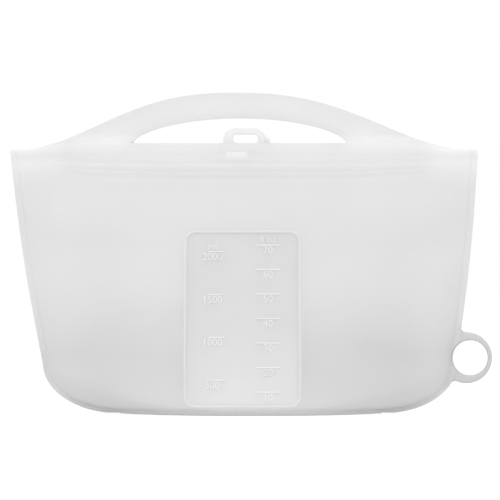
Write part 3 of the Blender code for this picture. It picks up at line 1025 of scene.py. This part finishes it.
def ring_outline():
    top_x = edge_x(RING_Z + RING_RADIUS) + FILLET
    low_x = edge_x(RING_Z - RING_RADIUS) + FILLET - 1.0 * MM
    top_z, low_z = RING_Z + fillet_centre(top_x), RING_Z - fillet_centre(low_x)
    top_angle = math.degrees(math.atan2(top_z - RING_Z, top_x - RING_X))
    low_angle = math.degrees(math.atan2(low_z - RING_Z, low_x - RING_X))
    inside = RING_LOW.x - 4 * MM
    return (
        arc((RING_X, RING_Z), RING_RADIUS, low_angle, top_angle, 40)
        + arc((top_x, top_z), FILLET, top_angle - 180, -180, 8)
        + [(edge_x(top_z) - 2 * MM, top_z), (inside, RING_Z + 10 * MM)]
        + [(inside, RING_Z - 10 * MM), (edge_x(low_z) - 3 * MM, low_z + 1 * MM)]
        + arc((low_x, low_z), FILLET, 180, low_angle + 180, 8)
    )


hole = arc((HOLE_X, RING_Z), HOLE_RADIUS, *HOLE_ARC)
bm = plate("ring", [ring_outline(), hole], 0.0, RING_HIGH.y - RING_LOW.y, RING_EDGE)
bmesh.ops.triangulate(bm, faces=[face for face in bm.faces if len(face.verts) > 4])
level_cuts(bm, *RING_CUTS, CUT_SPACING, 0)
ring = finish_mesh(bm, "seam_ring", thick_frosted)
darken_rims(ring)

# The seam strip makes room for the ring's hole.
notch_outline = arc((HOLE_X, RING_Z), HOLE_RADIUS + NOTCH_ROOM, *HOLE_ARC)
notch = finish_mesh(plate("notch", [notch_outline], 0.0, NOTCH_THICK, 0.0), "notch")
cut(front_skin, notch)
cut(back_skin, notch)
bpy.data.objects.remove(notch)
print("ring:", len(ring.data.polygons), "faces")

# %% [markdown]
# ## Foot
# The foot is a thicker pad between the two halves. Its outline is the same full lens as the walls,
# a little smaller, so that it closes the bag from inside.

# %% Foot pad
FOOT_POINTS = 96
FOOT_INSET = 0.45              # of the foot's rounded edge
FOOT_PROFILE = (               # height and inset, in mm
    (0.0, 3.2), (0.0, 1.6), (0.25, 0.9), (0.9, 0.3), (1.8, 0.0), (3.2, 0.0), (3.4, 1.2),
)


def foot_outline(shrink):
    half = FOOT_HALF - shrink
    depth = FOOT_DEPTH_HALF - FOOT_EDGE * FOOT_INSET - shrink
    points = []
    for index in range(FOOT_POINTS):
        angle = 2 * math.pi * index / FOOT_POINTS
        x = half * math.cos(angle)
        y = depth * (1.0 - abs(math.cos(angle)) ** PLAN_POWER)
        points.append((x + side_middle(0.0), math.copysign(y, math.sin(angle))))
    return points


foot = bmesh.new()
ring_before = None
for z, shrink in FOOT_PROFILE:
    points = [foot.verts.new((x, y, z * MM)) for x, y in foot_outline(shrink * MM)]
    edges = [foot.edges.new(pair) for pair in zip(points, points[1:] + points[:1])]
    if ring_before:
        bmesh.ops.bridge_loops(foot, edges=ring_before + edges)
    else:
        foot.faces.new(points)
    ring_before = edges
bmesh.ops.contextual_create(foot, geom=ring_before)
foot_pad = finish_mesh(foot, "foot_pad", thick_frosted)
darken_rims(foot_pad)
print("foot:", len(foot_pad.data.polygons), "faces")

# %% [markdown]
# ## Tongues of the press seal
# Three tongues stand on the inside of the front lip and lock into the grooves of the back lip.
# On the real bag they bend with the lip. Here they are drawn again: a small section is carried
# along the mouth on a grid, one grid row for each corner of the section.

# %% Tongue rails
TONGUE_THICK = 1.4 * MM
TONGUE_TIP = 0.9 * MM
RAIL_COLUMNS = 72


def tongue(name, node):
    low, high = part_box(node)
    half = TONGUE_THICK / 2
    nose = half / 2
    root = low.y
    section = [(root, -half), (TONGUE_TIP - nose, -half), (TONGUE_TIP, -nose),
               (TONGUE_TIP, nose), (TONGUE_TIP - nose, half), (root, half)]
    sag = high.z - low.z - TONGUE_THICK

    def point(column, row):
        x = mix(low.x, high.x, column / RAIL_COLUMNS)
        y, z = section[row % len(section)]
        return x, y, low.z + half + z + sag * (x / high.x) ** 2

    bm = grid_sheet(RAIL_COLUMNS, len(section), point)
    bmesh.ops.remove_doubles(bm, verts=bm.verts, dist=MERGE)
    bmesh.ops.holes_fill(bm, edges=[edge for edge in bm.edges if edge.is_boundary])
    return finish_mesh(bm, name, thick_frosted)


LEVELS = ("upper", "middle", "lower")
tongues = {level: tongue(level + "_tongue", level + "_tongue_rail") for level in LEVELS}
print("tongues:", [len(piece.data.polygons) for piece in tongues.values()], "faces")

# %% [markdown]
# ## Bodies and joints
# Window, bead, grip pad and marks ride on the front panel, and the foot on the back; the other
# pieces keep their place and the frame parts they cover are hidden. On the real bag the front
# half's middle swings out with the front panel, and its sides stay joined to the back at the
# seams, as the lips bow open. Here a share for that is worked out for each point of the front
# half and the tongues, and it is not stored.

# %% Riding and bow shares
HOLD_HALF = 41 * MM
HOLD_WIDER = 6 * MM
BOW_TOP = 70 * MM


def bow_share(x, z):
    """1 where the wall swings with the front panel, 0 where the seams and the foot hold it."""
    free = mix(HOLD_HALF + HOLD_WIDER, seam_line(z), smoothstep(0.0, BOW_TOP, z))
    return smoothstep(free, HOLD_HALF, abs(x - side_middle(z)))


def bow_with_front(piece):
    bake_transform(piece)
    shares = [bow_share(vertex.co.x, vertex.co.z) for vertex in piece.data.vertices]


bow_with_front(front_skin)
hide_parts("front_wall", "front_lip")
for level, piece in tongues.items():
    bow_with_front(piece)
    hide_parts(level + "_tongue_rail")

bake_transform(back_skin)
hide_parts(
    "back_wall", "back_lip", "carry_handle",
    "left_side_seam", "right_lower_seam", "right_upper_seam",
)

for piece, node in ((window_pane, "measuring_window"), (window_bead, "window_frame")):
    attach(piece, "front_panel")
    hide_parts(node)
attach(grip_pad, "front_panel")
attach(ounce_marks, "front_panel")
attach(millilitre_marks, "front_panel")

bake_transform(front_tab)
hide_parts("front_pull_tab")
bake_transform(rear_tab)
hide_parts("rear_pull_tab")
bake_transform(ring)
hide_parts("hanging_ring")
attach(foot_pad, "bag_back")
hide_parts("base_pan")

# %% [markdown]
# ## Groove rails
# The groove rails on the back lip already have their true shape in the frame, and the back lip
# does not bend. They only get the silicone's material.

# %% Groove rails
for level in LEVELS:
    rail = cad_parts[level + "_groove_rail"]
    rail.data.materials.clear()
    rail.data.materials.append(thick_frosted)
print("groove rails keep the frame's shape")

# %% [markdown]
# ## Floor, light and camera
# A pale floor and an even white sky make the plain studio. The floor is grey paper that glows, so
# it stays white and takes hardly any shadow. A large soft light above the front gives the lips and
# the ribs their highlights, and a second one stands above the back. The long lens keeps the marks
# evenly spaced.

# %% Studio
bpy.ops.mesh.primitive_plane_add(size=8.0, location=(0.0, 0.0, -0.0002))
floor = bpy.context.object
floor.name = "studio_floor"
floor_material = bpy.data.materials.new("glowing_grey_paper")
floor_material.use_nodes = True
floor_shader = floor_material.node_tree.nodes["Principled BSDF"]
floor_shader.inputs["Base Color"].default_value = srgb("7A7A7A")
floor_shader.inputs["Roughness"].default_value = 0.9
floor_shader.inputs["Emission Color"].default_value = (1.0, 1.0, 1.0, 1.0)
floor_shader.inputs["Emission Strength"].default_value = 0.8
floor.data.materials.append(floor_material)

world = bpy.data.worlds.new("white_sky")
world.use_nodes = True
world.node_tree.nodes["Background"].inputs["Color"].default_value = (1.0, 1.0, 1.0, 1.0)
world.node_tree.nodes["Background"].inputs["Strength"].default_value = 1.0
bpy.context.scene.world = world


def soft_light(name, place, target, size, power):
    light = bpy.data.lights.new(name, "AREA")
    light.shape = "RECTANGLE"
    light.size, light.size_y = size
    light.energy = power
    lamp = bpy.data.objects.new(name, light)
    lamp.location = place
    lamp.rotation_euler = (Vector(target) - Vector(place)).to_track_quat("-Z", "Y").to_euler()
    bpy.context.scene.collection.objects.link(lamp)


soft_light("key_light", (-0.15, -0.9, 1.1), (0.0, 0.0, 0.1), (0.9, 0.5), 6.5)
soft_light("back_light", (0.2, 0.9, 1.0), (0.0, 0.0, 0.1), (0.9, 0.5), 5.0)

FRAME_MM = 311.0
DISTANCE = 4.0
camera_data = bpy.data.cameras.new("camera")
camera_data.sensor_width = 36.0
camera_data.lens = 36.0 * DISTANCE / (FRAME_MM * MM)
camera = bpy.data.objects.new("camera", camera_data)
AIM = Vector((3.7 * MM, 0.0, 101.5 * MM))
TILT = math.radians(0.6)
camera.location = AIM + Vector((0.0, -DISTANCE * math.cos(TILT), DISTANCE * math.sin(TILT)))
camera.rotation_euler = (math.pi / 2 - TILT, 0.0, 0.0)
bpy.context.scene.collection.objects.link(camera)
bpy.context.scene.camera = camera
bpy.context.scene.view_settings.view_transform = "Standard"
print("lens", round(camera_data.lens, 1), "mm at", DISTANCE, "m")
